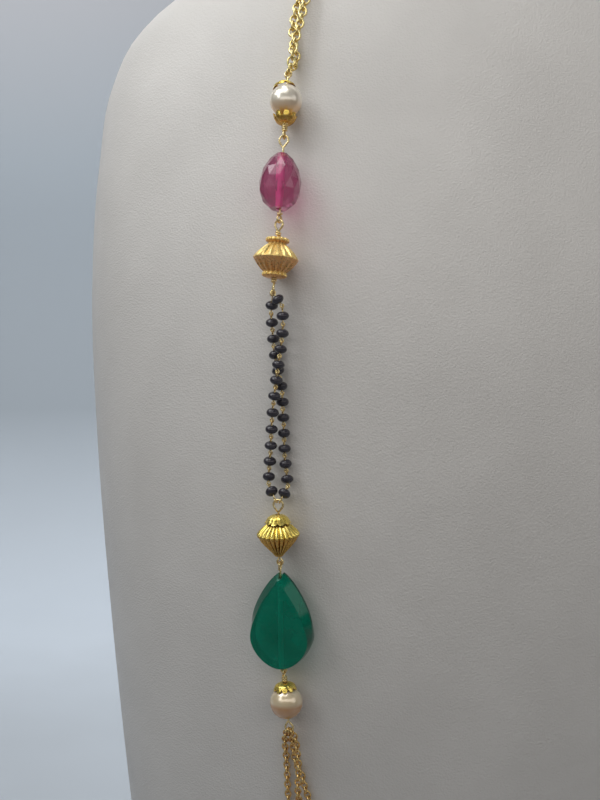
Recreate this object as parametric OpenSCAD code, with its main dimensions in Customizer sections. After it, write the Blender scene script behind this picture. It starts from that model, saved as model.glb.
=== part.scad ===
// A long mangalsutra on a plain neck bust, in millimetres, +Z up, its front facing -Y.
// The origin is on the flat base, below the middle of the neck.

/* [Bust] */
// Height to the top of the neck
bust_h = 400; // [390:1:430]
// Width of the chest at its widest
chest_w = 216; // [212:1:220]
// Width of the neck at its top
neck_w = 83; // [76:1:88]

/* [Pearls] */
// Diameter of a pearl
pearl_d = 7; // [6.4:0.1:7.1]
// Number of petals round the edge of the upper pearl's caps
upper_cap_petals = 8; // [6:1:10]
// Number of petals round the edge of the lower pearl's cap
lower_cap_petals = 10; // [8:1:12]

/* [Stones] */
// Width of the faceted ruby bead
ruby_w = 8.9; // [8:0.1:9.2]
// Length of the faceted ruby bead
ruby_l = 12.4; // [11:0.1:12.6]
// Width of the flat green drop
drop_w = 14.4; // [12:0.1:14.8]
// Length of the flat green drop
drop_l = 20.8; // [19:0.1:20.9]
// Thickness of the flat green drop
drop_t = 5; // [4:0.1:6]
// Width of the bevel along its upper sides, from which it narrows to the foot
drop_bevel = 1.3; // [0.8:0.1:1.8]

/* [Gold beads] */
// Width of the bead with broad petals
petal_w = 9.5; // [8.6:0.1:9.6]
// Number of petals round it
petals = 16; // [12:2:18]
// Width of the bead with fine ribs
ribbed_w = 9; // [8.4:0.1:9.2]
// Number of ribs round it
ribs = 24; // [20:2:28]

/* [Black beads] */
// Diameter of a black bead
black_d = 2.6; // [2.2:0.05:2.65]
// Length of a black bead along its wire
black_l = 1.85; // [1.5:0.05:1.9]

/* [Wire] */
// Diameter of the wire of the large eye pins
wire_d = 0.45; // [0.4:0.01:0.5]
// Diameter of the wire of the small eye pins
thin_d = 0.22; // [0.18:0.01:0.24]

/* [Chains] */
// Width of a neck chain
neck_chain_d = 1.9; // [1.6:0.05:1.95]
// Width of a lower chain
lower_chain_d = 1.6; // [1.2:0.05:1.65]

/* [Clasp] */
// Diameter of the wire of the hook
hook_d = 0.8; // [0.6:0.05:0.9]
// Radius of each curl of the hook, to the middle of its wire
hook_r = 1.6; // [1.5:0.05:1.8]

/* [Hidden] */
SINGLE = ["bust", "hook", "lower_chain_long", "lower_chain_middle", "lower_chain_short"];
PAIRED = ["end_ring", "neck_chain_front", "neck_chain_back",
    "pearl_upper", "pearl_upper_top_cap", "pearl_upper_bottom_cap", "pearl_upper_pin",
    "ruby", "ruby_pin", "petal_bead", "petal_bead_pin",
    "black_beads_a", "black_pins_a", "black_beads_b", "black_pins_b",
    "ribbed_bead", "ribbed_bead_cap", "ribbed_bead_pin", "green_drop", "green_drop_pin",
    "pearl_lower", "pearl_lower_cap", "pearl_lower_pin"];
$fn = 48;

// Sections of the bust: height, half width, depth in front, depth behind
BUST = [
    [0, 89, 46, 34], [50, 94, 53, 36], [100, 99.5, 59, 38], [150, 104, 62.5, 39],
    [195, 107, 63, 39.5], [235, chest_w / 2, 59.5, 40], [265, 106, 53.5, 40],
    [285, 102.5, 48.5, 39.5], [297, 96.5, 45, 39], [305, 88, 42.5, 38.5], [312, 76, 41, 38],
    [320, 62, 39.5, 38], [330, 50, 38.5, 37.5], [345, 44, 37.5, 37],
    [370, neck_w / 2 + 0.5, 37, 36.5], [bust_h, neck_w / 2, 37.5, 37]];
HALF_W = 1;
FRONT = 2;
BACK = 3;
// A section is an oval |x|^p + |y|^p = 1, a little squarer than an ellipse
oval_power = 2.3;
bust_sides = 48;
// Heights of the rings of the bust's skin, and how far the rolled edges draw in
edge_roll = [[0, 2.5], [0.8, 1], [3, 0]];
plain_heights = concat([for (z = [25:25:250]) z], [265, 275, 285, 291, 297, 301, 305, 308.5],
    [312, 316, 320, 325, 330, 337, 345, 357, 370, 385]);

// Where the hanging pieces are joined: across from the middle, height, distance off the bust
JOINTS = [[-56.3, 279, 3], [-56.8, 264.3, 4.4], [-57.5, 246.3, 5.1], [-58.8, 231.7, 4.9],
    [-57.6, 188.7, 5], [-57.4, 175.5, 4.3], [-56.9, 151.9, 3.5], [-55.6, 139.1, 3.9]];
// Each piece's upper joint, how far its middle lies above and across from the middle of its
// line, and how far it leans
PEARL_UPPER = [0, 0.9, -0.08, 0];
RUBY = [1, -0.6, -0.25, 0];
PETAL = [2, -0.2, 0, 0];
RIBBED = [4, -0.6, -0.2, 0];
DROP = [5, -0.35, 0, 1.2];
PEARL_LOWER = [6, -0.4, -0.08, 0];

// Links of the two black strands: across from the middle, height, distance off the bust,
// and how far the bead below the link sits above the middle of its pin
STRAND_A = [[-58.8, 231.8, 5.3, -0.15], [-56.9, 228.8, 4.7, 0], [-56.9, 225, 4.2, 0],
    [-57.2, 221.7, 4.1, 0], [-57.6, 218.5, 4.3, 0], [-58, 215.3, 4.4, 0], [-58.4, 212.1, 4.3, 0],
    [-58.9, 208.7, 4, 0], [-59.3, 205.2, 3.6, 0], [-59.6, 201.7, 3.2, 0], [-59.9, 198.3, 2.7, 0],
    [-60.3, 195, 2.3, 0], [-60.2, 191.8, 3, 0.45], [-57.9, 188.6, 5.2, 0]];
STRAND_B = [[-59, 231.9, 4.4, -0.5], [-59.8, 227.4, 2.7, 0], [-59.8, 224.1, 1.7, 0],
    [-59.6, 220.7, 1.55, 0], [-59.1, 217.4, 1.55, 0], [-58.3, 214.1, 1.55, 0],
    [-57.8, 210.8, 1.55, 0], [-57.7, 207.5, 1.55, 0], [-57.5, 204.2, 1.55, 0],
    [-57.4, 201, 1.55, 0], [-57.3, 197.7, 1.55, 0], [-56.9, 194.5, 1.6, 0],
    [-56.3, 191.4, 2.6, 0.25], [-57.2, 188.6, 5.2, 0]];
strand_first_turn = 25;

// Routes of the chains: across from the middle, height, distance off the bust
NECK_FRONT = [[-55.9, 279.7, 4], [-55.4, 281.4, 3.8], [-55.1, 284.4, 3.4], [-54.3, 287.7, 3.3],
    [-53.5, 291.2, 3], [-53, 294.2, 2.8], [-52.4, 297.5, 2.5]];
NECK_BACK = [[-56.1, 279.9, 1.8], [-55.3, 281.5, 1.3], [-55.1, 283.7, 1.15], [-55.7, 287.1, 1.15],
    [-55.8, 290.1, 1.15], [-55.3, 293, 1.15], [-54.7, 295.9, 1.15], [-54.2, 298.5, 1.15]];
// Further on they go round the neck: bearing from the front, height, distance off the bust
ROUND_FRONT = [[35, 305.5, 1.7], [41, 313, 1.6], [50, 320.5, 1.6], [62, 327, 1.5], [76, 330.5, 1.5],
    [92, 332, 1.4], [110, 332, 1.4], [130, 331, 1.4], [150, 329.5, 1.4], [163, 328, 1.4],
    [172, 327, 1.7], [174.8, 326.9, 1.9]];
ROUND_BACK = [[37.2, 306, 1.4], [44, 313, 1.5], [54, 319.5, 1.5], [66, 324.8, 1.4], [79, 328, 1.4],
    [93, 329.3, 1.4], [110, 329.3, 1.4], [130, 328.3, 1.4], [150, 326.9, 1.4], [163, 325.6, 1.4],
    [172, 324.9, 1.7], [174.8, 324.8, 1.9]];
LOWER_LONG = [[-56.7, 138.4, 3.1], [-57, 136.8, 2.4], [-57.3, 134.3, 1.4], [-57.2, 131.5, 0.95],
    [-57, 127, 0.95], [-56.8, 122, 0.95], [-56.2, 110, 0.95], [-54.8, 96, 0.95], [-52, 82, 0.95],
    [-47.5, 69, 0.95], [-41, 57, 0.95], [-32.5, 46.5, 0.95], [-22, 38, 0.95], [-11, 32, 0.95],
    [0, 30, 0.95]];
LOWER_MIDDLE = [[-54.6, 138.4, 3.9], [-54.4, 136.8, 3.4], [-54.3, 134.2, 2.9], [-54.1, 131.8, 2.7],
    [-54, 129.5, 2.7], [-54.2, 126.6, 2.7], [-54.3, 124.1, 2.2], [-54.1, 120, 1.1], [-53.5, 113, 0.95],
    [-52, 103, 0.95], [-49, 91, 0.95], [-44.5, 79, 0.95], [-38, 68, 0.95], [-30, 59, 0.95],
    [-20, 51.5, 0.95], [-10, 47, 0.95], [0, 45.5, 0.95]];
LOWER_SHORT = [[-55.7, 137.4, 1.9], [-55.8, 134.8, 1.1], [-55.5, 132, 0.95], [-54.9, 129.8, 0.95],
    [-53.8, 127.5, 0.95], [-53.2, 125, 0.95], [-52.4, 122.5, 0.95], [-50.2, 115, 0.95],
    [-47.2, 106, 0.95], [-43, 96.5, 0.95], [-37.5, 87, 0.95], [-30.5, 78, 0.95], [-22, 70.5, 0.95],
    [-12, 64.5, 0.95], [0, 62, 0.95]];
tube_sides = 8;
tube_step = 4.6;
tube_end = 0.6;

// Clearances: in large and small linked eyes, and round a wire in a small or a large bead
link_play = 0.15;
thin_play = 0.2;
bead_play = 0.15;
gold_play = 0.25;
// Radius of the hole through the ruby and the drop, which shows through the stones
stone_hole_r = 0.55;
// The upper pearl's top cap sits crooked on it, so its hole is wide
cap_tilt = -12;
tilted_hole_r = 1.3;
// Radii of the small eye pins' eyes, and of those that hold on to a larger eye
thin_eye_r = 0.38;
end_eye_r = 0.5;

// Profiles of the gold beads: height, share of the half width, depth of the grooves
PETAL_PROFILE = [[4.2, 0.34, 0], [4, 0.5, 0.05], [3.4, 0.52, 0.05], [2.9, 0.4, 0.12],
    [2.3, 0.57, 0.35], [1.3, 0.81, 0.45], [0.2, 1, 0.2], [-0.2, 1, 0.2], [-1.3, 0.85, 0.45],
    [-2.4, 0.68, 0.4], [-3.1, 0.54, 0.2], [-3.5, 0.6, 0.1], [-4, 0.58, 0.1], [-4.3, 0.36, 0]];
RIBBED_PROFILE = [[2.9, 0.36, 0.1], [2.2, 0.6, 0.3], [1.2, 0.85, 0.35], [0.4, 1, 0.35],
    [-0.1, 0.99, 0.35], [-0.4, 0.92, 0.2], [-1.2, 0.83, 0.25], [-2.6, 0.56, 0.2], [-3.8, 0.31, 0.12],
    [-4.5, 0.19, 0]];

// Half of a cap over a pearl: radius and height over the pearl's middle, from the edge up
// the outside to the hole and back inside. The upper pearl has a deeper cup below it.
CAP_OUTSIDE = [[2.45, 2.8], [2.32, 3.2], [2.05, 3.7], [1.6, 4.1], [1.1, 4.3]];
CAP_INSIDE = [[1, 4.02], [1.45, 3.84], [1.85, 3.5], [2.1, 3.1], [2.25, 2.86]];
cap_top = 4.35;
CUP_OUTSIDE = [[2.45, 3.4], [2.35, 4], [2.05, 4.65], [1.6, 5.15], [1.15, 5.4]];
CUP_INSIDE = [[1.05, 5.12], [1.45, 4.92], [1.85, 4.5], [2.12, 3.92], [2.2, 3.45]];
cup_top = 5.45;
sheet_t = 0.28;

// The ruby's rings of corners, as shares of its half length
RUBY_RINGS = [0.97, 0.74, 0.39, 0, -0.39, -0.74, -0.97];
ruby_sides = 12;
ruby_fullness = 0.93;
// How much wider its foot is than its top
ruby_egg = 0.15;
drop_sides = 28;
drop_girdle = 0.8;
// The drop's outline: how slowly it widens from the tip, how straight its sides are and how low
// it is widest
drop_taper = 0.35;
drop_straightness = 0.2;
drop_sag = 0.1;
drop_norm = 0.8974;
// The notch where the hole comes out at the tip
notch_w = 1;
notch_depth = 1.3;

// The clasp at the nape
clasp_z = 326;
ring_r = 1.35;
ring_d = 0.7;
hook_sweep = 250;

function unit(v) = v / norm(v);
function clamp(v, low, high) = min(max(v, low), high);

// The bust's half width or depth at a height, on a smooth curve through its sections
function row_at(z, i = 0) = i + 2 >= len(BUST) || BUST[i + 1][0] > z ? i : row_at(z, i + 1);
function rise(i, c) = (BUST[i + 1][c] - BUST[i][c]) / (BUST[i + 1][0] - BUST[i][0]);
function lean(i, c) =
    i == 0 ? rise(0, c)
    : i == len(BUST) - 1 ? rise(i - 1, c)
    : let(low = BUST[i][0] - BUST[i - 1][0], high = BUST[i + 1][0] - BUST[i][0])
        (rise(i - 1, c) * high + rise(i, c) * low) / (low + high);
function measure(height, c) =
    let(z = clamp(height, 0, bust_h), i = row_at(z), h = BUST[i + 1][0] - BUST[i][0],
        t = (z - BUST[i][0]) / h)
    (2 * t^3 - 3 * t^2 + 1) * BUST[i][c] + (3 * t^2 - 2 * t^3) * BUST[i + 1][c]
    + (t^3 - 2 * t^2 + t) * h * lean(i, c) + (t^3 - t^2) * h * lean(i + 1, c);

// A point of the bust's skin: the bearing is 0 in front, 90 at the viewer's left, 180 behind
function swell(v) = sign(v) * pow(abs(v), 2 / oval_power);
function skin(bearing, z) = [
    -measure(z, HALF_W) * swell(sin(bearing)),
    -measure(z, cos(bearing) > 0 ? FRONT : BACK) * swell(cos(bearing)),
    z];
function outward(bearing, z) = unit(cross(skin(bearing, z + 0.5) - skin(bearing, z - 0.5),
    skin(bearing + 0.5, z) - skin(bearing - 0.5, z)));
function bearing_at(x, z) =
    -sign(x) * asin(pow(clamp(abs(x) / measure(z, HALF_W), 0, 1), oval_power / 2));
function off_bust(p) = skin(p[0], p[1]) + p[2] * outward(p[0], p[1]);
function by_bearing(p) = [bearing_at(p[0], p[1]), p[1], p[2]];
function at(p) = off_bust(by_bearing(p));

// Faces of a closed stack of rings, each with the same number of points
function stack_faces(sides, rings) = concat(
    [[for (k = [sides - 1:-1:0]) k]],
    [for (i = [0:rings - 2], k = [0:sides - 1], half = [0, 1])
        let(a = i * sides + k, b = i * sides + (k + 1) % sides)
        half == 0 ? [a, b, b + sides] : [a, b + sides, a + sides]],
    [[for (k = [0:sides - 1]) (rings - 1) * sides + k]]);

// A smooth route through its rows, with a point about every tube_step
function blend(a, b, c, d, t) =
    b + t * (c - a) / 2 + t^2 * (a - 2.5 * b + 2 * c - d / 2) + t^3 * (1.5 * (b - c) + (d - a) / 2);
function steps(a, b) = max(1, round(norm(off_bust(a) - off_bust(b)) / tube_step));
function route(rows) = let(last = len(rows) - 1) concat(
    [for (i = [0:last - 1], k = [0:steps(rows[i], rows[i + 1]) - 1])
        blend(rows[max(i - 1, 0)], rows[i], rows[i + 1], rows[min(i + 2, last)],
            k / steps(rows[i], rows[i + 1]))],
    [rows[last]]);
function other_half(rows) = [for (i = [len(rows) - 2:-1:0]) [-rows[i][0], rows[i][1], rows[i][2]]];

module chain_tube(rows, d) {
    path = route(rows);
    last = len(path) - 1;
    points = [for (p = path) off_bust(p)];
    rings = [for (i = [0:last])
        let(along = unit(points[min(i + 1, last)] - points[max(i - 1, 0)]),
            up = outward(path[i][0], path[i][1]), out = unit(up - (up * along) * along),
            across = cross(along, out), r = d / 2 * (i == 0 || i == last ? tube_end : 1))
        for (k = [0:tube_sides - 1])
            let(a = 360 * k / tube_sides) points[i] + r * (cos(a) * across - sin(a) * out)];
    polyhedron(rings, stack_faces(tube_sides, last + 1), convexity = 10);
}

// Draws a piece between two joints, with +Z towards the upper one and -Y away from the bust
module hang(top, foot) {
    mid = (top + foot) / 2;
    up = unit(top - foot);
    out = outward(bearing_at(mid.x, mid.z), mid.z);
    back = unit((out * up) * up - out);
    side = cross(back, up);
    multmatrix([[side.x, back.x, up.x, mid.x], [side.y, back.y, up.y, mid.y],
        [side.z, back.z, up.z, mid.z]]) children();
}

module on_line(piece) {
    hang(at(JOINTS[piece[0]]), at(JOINTS[piece[0] + 1]))
        translate([piece[2], 0, piece[1]]) rotate([0, piece[3], 0]) children();
}

function span(piece) = norm(at(JOINTS[piece[0]]) - at(JOINTS[piece[0] + 1]));

module other_side() {
    mirror([1, 0, 0]) children();
}

module eye(r, d, turn) {
    rotate([0, 0, turn]) rotate([90, 0, 0]) rotate_extrude() translate([r, 0]) circle(d / 2);
}

// The middle of an eye whose wire is held at a joint
function eye_middle(r, d) = r - d / 2 - (d > thin_d ? link_play : thin_play) / 2;

// A wire with an eye at each end, [radius, turn], and wraps, [how many, height of the lowest]
module eye_pin(length, d, top_eye, foot_eye, wraps = [0, 0]) {
    top_z = length / 2 - eye_middle(top_eye[0], d);
    foot_z = -length / 2 + eye_middle(foot_eye[0], d);
    shank_r = 0.42 * d;
    translate([0, 0, top_z]) eye(top_eye[0], d, top_eye[1]);
    translate([0, 0, foot_z]) eye(foot_eye[0], d, foot_eye[1]);
    rotate_extrude() {
        translate([0, foot_z + foot_eye[0]])
            square([shank_r, top_z - top_eye[0] - foot_z - foot_eye[0]]);
        for (i = [0:1:wraps[0] - 1])
            translate([shank_r + 0.3 * d, wraps[1] + i * 0.8 * d]) circle(0.42 * d);
    }
}

// A thin bowl of sheet gold over the top of a pearl, its edge cut into petals
module sheet_cap(outside, inside, top, petals, hole_r) {
    edge = outside[0];
    notch_r = 0.27 * 2 * PI * edge.x / petals;
    color("gold") difference() {
        rotate_extrude()
            polygon(concat([for (p = outside) if (p.x > hole_r + 0.05) p],
                [[hole_r, top], [hole_r, top - sheet_t]],
                [for (p = inside) if (p.x > hole_r + 0.05) p]));
        for (k = [0:petals - 1])
            rotate([0, 0, 360 * (k + 0.5) / petals]) translate([0, 0, edge.y - 0.1])
                rotate([0, 90, 0]) cylinder(r = notch_r, h = 3, $fn = 24);
    }
}

module pearl() {
    color("seashell") difference() {
        sphere(d = pearl_d);
        cylinder(r = wire_d / 2 + bead_play, h = 2 * pearl_d, center = true);
    }
}

// A gold bead swept round from its profile, with a groove between each two ribs
module ribbed(profile, w, count) {
    points = [for (row = profile, k = [0:2 * count - 1])
        let(r = row[1] * w / 2 - (k % 2) * row[2], a = 180 * k / count)
        [r * cos(a), -r * sin(a), row[0]]];
    difference() {
        polyhedron(points, stack_faces(2 * count, len(profile)), convexity = 6);
        cylinder(r = wire_d / 2 + gold_play, h = 20, center = true);
    }
}

module pearl_upper_top_cap() {
    on_line(PEARL_UPPER) rotate([0, cap_tilt, 0])
        sheet_cap(CAP_OUTSIDE, CAP_INSIDE, cap_top, upper_cap_petals, tilted_hole_r);
}

module pearl_upper_bottom_cap() {
    on_line(PEARL_UPPER) mirror([0, 0, 1])
        sheet_cap(CUP_OUTSIDE, CUP_INSIDE, cup_top, upper_cap_petals, 0.75);
}

module pearl_upper() {
    on_line(PEARL_UPPER) pearl();
}

module pearl_upper_pin() {
    color("goldenrod") hang(at(JOINTS[0]), at(JOINTS[1]))
        eye_pin(span(PEARL_UPPER), wire_d, [0.72, 0], [0.72, 90], [4, -5.3]);
}

module ruby() {
    points = [for (i = [0:len(RUBY_RINGS) - 1], k = [0:ruby_sides - 1])
        let(share = RUBY_RINGS[i],
            r = ruby_w / 2 * sqrt(1 - share^2 * ruby_fullness) * (1 - ruby_egg * share),
            a = -360 * (k + (i % 2) / 2) / ruby_sides)
        [r * cos(a), r * sin(a), share * ruby_l / 2]];
    color("mediumvioletred") on_line(RUBY) difference() {
        polyhedron(points, stack_faces(ruby_sides, len(RUBY_RINGS)), convexity = 2);
        cylinder(r = stone_hole_r, h = 2 * ruby_l, center = true);
    }
}

module ruby_pin() {
    color("goldenrod") hang(at(JOINTS[1]), at(JOINTS[2]))
        eye_pin(span(RUBY), wire_d, [1, 0], [0.72, 70]);
}

module petal_bead() {
    color("gold") on_line(PETAL) ribbed(PETAL_PROFILE, petal_w, petals);
}

module petal_bead_pin() {
    color("goldenrod") hang(at(JOINTS[2]), at(JOINTS[3]))
        eye_pin(span(PETAL), wire_d, [1, -20], [0.95, -65], [2, 4.5]);
}

module black_beads(strand) {
    color("black") for (i = [0:len(strand) - 2])
        hang(at(strand[i]), at(strand[i + 1])) translate([0, 0, strand[i][3]])
            rotate_extrude() black_profile();
}

// Half of a drilled oval bead with flat ends
module black_profile() {
    hole_r = thin_d / 2 + bead_play;
    end_angle = 54;
    arc = [for (a = [-end_angle:end_angle / 6:end_angle])
        [black_d / 2 * cos(a), black_l / 2 * sin(a) / sin(end_angle)]];
    polygon(concat([[hole_r, -black_l / 2]], arc, [[hole_r, black_l / 2]]));
}

module black_pins(strand) {
    last = len(strand) - 2;
    color("goldenrod") for (i = [0:last])
        hang(at(strand[i]), at(strand[i + 1]))
            eye_pin(norm(at(strand[i]) - at(strand[i + 1])), thin_d,
                i == 0 ? [end_eye_r, strand_first_turn] : [thin_eye_r, 90],
                i == last ? [end_eye_r, 90] : [thin_eye_r, 0]);
}

module ribbed_bead() {
    color("gold") on_line(RIBBED) ribbed(RIBBED_PROFILE, ribbed_w, ribs);
}

// A domed cap with a flared, scalloped edge
module ribbed_bead_cap() {
    scallops = 10;
    color("gold") on_line(RIBBED) difference() {
        rotate_extrude() polygon([[0.5, 4], [1.2, 3.9], [1.75, 3.5], [2.1, 2.95], [2.55, 2.65],
            [2.62, 2.9], [2.3, 3.2], [2, 3.7], [1.35, 4.25], [0.5, 4.4]]);
        for (k = [0:scallops - 1])
            rotate([0, 0, 360 * k / scallops]) translate([2.72, 0, 2]) cylinder(r = 0.4, h = 2, $fn = 24);
    }
}

module ribbed_bead_pin() {
    color("goldenrod") hang(at(JOINTS[4]), at(JOINTS[5]))
        eye_pin(span(RIBBED), wire_d, [1.05, 0], [0.6, 0]);
}

// A point of the drop's outline or of the edge of its faces, a pear shape widest below its middle
function drop_point(k, bevel) =
    let(a = 360 * k / drop_sides,
        x = sin(a) * pow(abs(sin(a / 2)), drop_taper) / drop_norm,
        z = cos(a) * (1 - drop_straightness * sin(a)^2) - drop_sag * sin(a)^2,
        inset = bevel * clamp(2 * z + 0.85, 0.15, 1))
    [(drop_w / 2 - inset) * x, (drop_l / 2 - inset) * z];

module green_drop() {
    layers = [[-drop_t / 2, drop_bevel], [-drop_girdle / 2, 0], [drop_girdle / 2, 0],
        [drop_t / 2, drop_bevel]];
    points = [for (layer = layers, k = [0:drop_sides - 1])
        let(p = drop_point(k, layer[1])) [p.x, layer[0], p.y]];
    color("darkgreen") on_line(DROP) difference() {
        polyhedron(points, stack_faces(drop_sides, len(layers)), convexity = 2);
        cylinder(r = stone_hole_r, h = 2 * drop_l, center = true);
        translate([0, 0, drop_l / 2 - notch_depth + notch_w / 2]) {
            rotate([90, 0, 0]) cylinder(d = notch_w, h = 2 * drop_t, center = true);
            translate([-notch_w / 2, -drop_t, 0]) cube([notch_w, 2 * drop_t, notch_depth]);
        }
    }
}

module green_drop_pin() {
    color("goldenrod") hang(at(JOINTS[5]), at(JOINTS[6]))
        eye_pin(span(DROP), wire_d, [0.7, 90], [0.6, 0]);
}

module pearl_lower() {
    on_line(PEARL_LOWER) pearl();
}

module pearl_lower_cap() {
    on_line(PEARL_LOWER) sheet_cap(CAP_OUTSIDE, CAP_INSIDE, cap_top, lower_cap_petals, 0.4);
}

module pearl_lower_pin() {
    color("goldenrod") hang(at(JOINTS[6]), at(JOINTS[7]))
        eye_pin(span(PEARL_LOWER), wire_d, [0.6, 90], [0.88, 0], [3, 4.3]);
}

module neck_chain_front() {
    color("gold") chain_tube(concat([for (p = NECK_FRONT) by_bearing(p)], ROUND_FRONT), neck_chain_d);
}

module neck_chain_back() {
    color("gold") chain_tube(concat([for (p = NECK_BACK) by_bearing(p)], ROUND_BACK), neck_chain_d);
}

module lower_chain(half) {
    rows = concat(half, other_half(half));
    color("darkgoldenrod") chain_tube([for (p = rows) by_bearing(p)], lower_chain_d);
}

module lower_chain_long() {
    lower_chain(LOWER_LONG);
}

module lower_chain_middle() {
    lower_chain(LOWER_MIDDLE);
}

module lower_chain_short() {
    lower_chain(LOWER_SHORT);
}

// The clasp lies just behind the neck, held off it by its rings
clasp_y = measure(clasp_z, BACK) + ring_r + ring_d / 2 + 0.2;
ring_x = 2 * hook_r + ring_r - hook_d / 2 - ring_d / 2 - link_play;

module end_ring() {
    color("goldenrod") translate([-ring_x, clasp_y, clasp_z]) rotate_extrude()
        translate([ring_r, 0]) circle(ring_d / 2);
}

module hook() {
    color("goldenrod") translate([0, clasp_y, clasp_z]) rotate([90, 0, 0]) {
        for (turn = [0, 180])
            rotate([0, 0, turn]) translate([-hook_r, 0, 0])
                rotate_extrude(angle = hook_sweep, start = 0) translate([hook_r, 0]) circle(hook_d / 2);
        sphere(d = 1.5 * hook_d);
    }
}

module bust() {
    low = [for (e = edge_roll) [e[0], e[1]]];
    middle = [for (z = plain_heights) [z, 0]];
    high = [for (i = [len(edge_roll) - 1:-1:0]) [bust_h - edge_roll[i][0], edge_roll[i][1]]];
    levels = concat(low, middle, high);
    points = [for (level = levels, k = [0:bust_sides - 1])
        let(p = skin(-360 * k / bust_sides, level[0]),
            w = measure(level[0], HALF_W), f = measure(level[0], FRONT))
        [p.x * (1 - level[1] / w), p.y * (1 - level[1] / f), level[0]]];
    color("whitesmoke") polyhedron(points, stack_faces(bust_sides, len(levels)), convexity = 4);
}

bust();
hook();
lower_chain_long();
lower_chain_middle();
lower_chain_short();
end_ring();  // end_ring_left
other_side() end_ring();  // end_ring_right
neck_chain_front();  // neck_chain_front_left
other_side() neck_chain_front();  // neck_chain_front_right
neck_chain_back();  // neck_chain_back_left
other_side() neck_chain_back();  // neck_chain_back_right
pearl_upper();  // pearl_upper_left
other_side() pearl_upper();  // pearl_upper_right
pearl_upper_top_cap();  // pearl_upper_top_cap_left
other_side() pearl_upper_top_cap();  // pearl_upper_top_cap_right
pearl_upper_bottom_cap();  // pearl_upper_bottom_cap_left
other_side() pearl_upper_bottom_cap();  // pearl_upper_bottom_cap_right
pearl_upper_pin();  // pearl_upper_pin_left
other_side() pearl_upper_pin();  // pearl_upper_pin_right
ruby();  // ruby_left
other_side() ruby();  // ruby_right
ruby_pin();  // ruby_pin_left
other_side() ruby_pin();  // ruby_pin_right
petal_bead();  // petal_bead_left
other_side() petal_bead();  // petal_bead_right
petal_bead_pin();  // petal_bead_pin_left
other_side() petal_bead_pin();  // petal_bead_pin_right
black_beads(STRAND_A);  // black_beads_a_left
other_side() black_beads(STRAND_A);  // black_beads_a_right
black_pins(STRAND_A);  // black_pins_a_left
other_side() black_pins(STRAND_A);  // black_pins_a_right
black_beads(STRAND_B);  // black_beads_b_left
other_side() black_beads(STRAND_B);  // black_beads_b_right
black_pins(STRAND_B);  // black_pins_b_left
other_side() black_pins(STRAND_B);  // black_pins_b_right
ribbed_bead();  // ribbed_bead_left
other_side() ribbed_bead();  // ribbed_bead_right
ribbed_bead_cap();  // ribbed_bead_cap_left
other_side() ribbed_bead_cap();  // ribbed_bead_cap_right
ribbed_bead_pin();  // ribbed_bead_pin_left
other_side() ribbed_bead_pin();  // ribbed_bead_pin_right
green_drop();  // green_drop_left
other_side() green_drop();  // green_drop_right
green_drop_pin();  // green_drop_pin_left
other_side() green_drop_pin();  // green_drop_pin_right
pearl_lower();  // pearl_lower_left
other_side() pearl_lower();  // pearl_lower_right
pearl_lower_cap();  // pearl_lower_cap_left
other_side() pearl_lower_cap();  // pearl_lower_cap_right
pearl_lower_pin();  // pearl_lower_pin_left
other_side() pearl_lower_pin();  // pearl_lower_pin_right
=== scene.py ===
"""The looks of a long mangalsutra on a plain neck bust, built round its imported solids.

Lengths are in metres and bearings in degrees. +Z is up, the bust's front faces -Y, and the
origin lies on the flat base, below the middle of the neck.
"""
import math
import random

import bpy
from mathutils import Matrix, Vector


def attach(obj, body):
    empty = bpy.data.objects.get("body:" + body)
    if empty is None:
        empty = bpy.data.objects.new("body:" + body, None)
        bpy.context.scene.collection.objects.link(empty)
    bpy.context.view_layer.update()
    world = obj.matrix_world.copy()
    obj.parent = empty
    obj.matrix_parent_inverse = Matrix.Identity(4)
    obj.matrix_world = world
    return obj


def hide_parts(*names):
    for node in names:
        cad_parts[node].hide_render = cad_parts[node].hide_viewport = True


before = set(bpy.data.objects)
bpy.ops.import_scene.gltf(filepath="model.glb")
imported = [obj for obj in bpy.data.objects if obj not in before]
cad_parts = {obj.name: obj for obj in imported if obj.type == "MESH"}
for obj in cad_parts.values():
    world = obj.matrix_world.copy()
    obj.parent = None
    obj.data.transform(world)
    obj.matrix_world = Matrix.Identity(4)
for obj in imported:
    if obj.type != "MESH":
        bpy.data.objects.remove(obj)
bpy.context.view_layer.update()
chance = random.Random(11)

# Sizes of the pieces
BUST_HEIGHT = 0.4
EDGE_ROLL = 0.003
EDGE_ROLL_END = 0.86
OVAL_POWER = 2.3
WIRE_D = 0.00045
THIN_D = 0.00028
THIN_EYE_R = 0.00038
END_EYE_R = 0.0005
TOP_EYE_R = 0.00072
FOOT_EYE_R = 0.00088
STRAND_FIRST_TURN = 25
BLACK_D = 0.0026
BLACK_L = 0.00185
BLACK_CURVE = 66
RUBY_W = 0.0089
RUBY_L = 0.0124
RUBY_SIDES = 12
RUBY_FULLNESS = 0.93
RUBY_EGG = 0.15
DROP_W = 0.0144
DROP_L = 0.0208
DROP_T = 0.005
DROP_BEVEL = 0.0013
DROP_GIRDLE = 0.0008
DROP_NOTCH_W = 0.001
DROP_NOTCH_DEPTH = 0.0013
DROP_TAPER = 0.35
DROP_STRAIGHTNESS = 0.2
DROP_SAG = 0.1
# The greatest reach of the drop's pear curve across, which is scaled to 1
DROP_NORM = 0.8974
DROP_FLATTENING = 0.06
DROP_LOW_BEVEL = 0.15
STONE_HOLE_R = 0.00055
PETAL_R = 0.00475
PETALS = 16
RIBBED_R = 0.0045
RIBS = 24
RING_R = 0.00135
RING_D = 0.0007
HOOK_R = 0.0016
HOOK_D = 0.0008
CLASP_Z = 0.326
CLASP_PLAY = 0.0002
LINK_PLAY = 0.00015
BEAD_PLAY = 0.00015
GOLD_PLAY = 0.00025

# Most degrees by which a link is turned out of true, and steps from a route's row to the next
LINK_WOBBLE = 7
ROUTE_STEPS = 8
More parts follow.
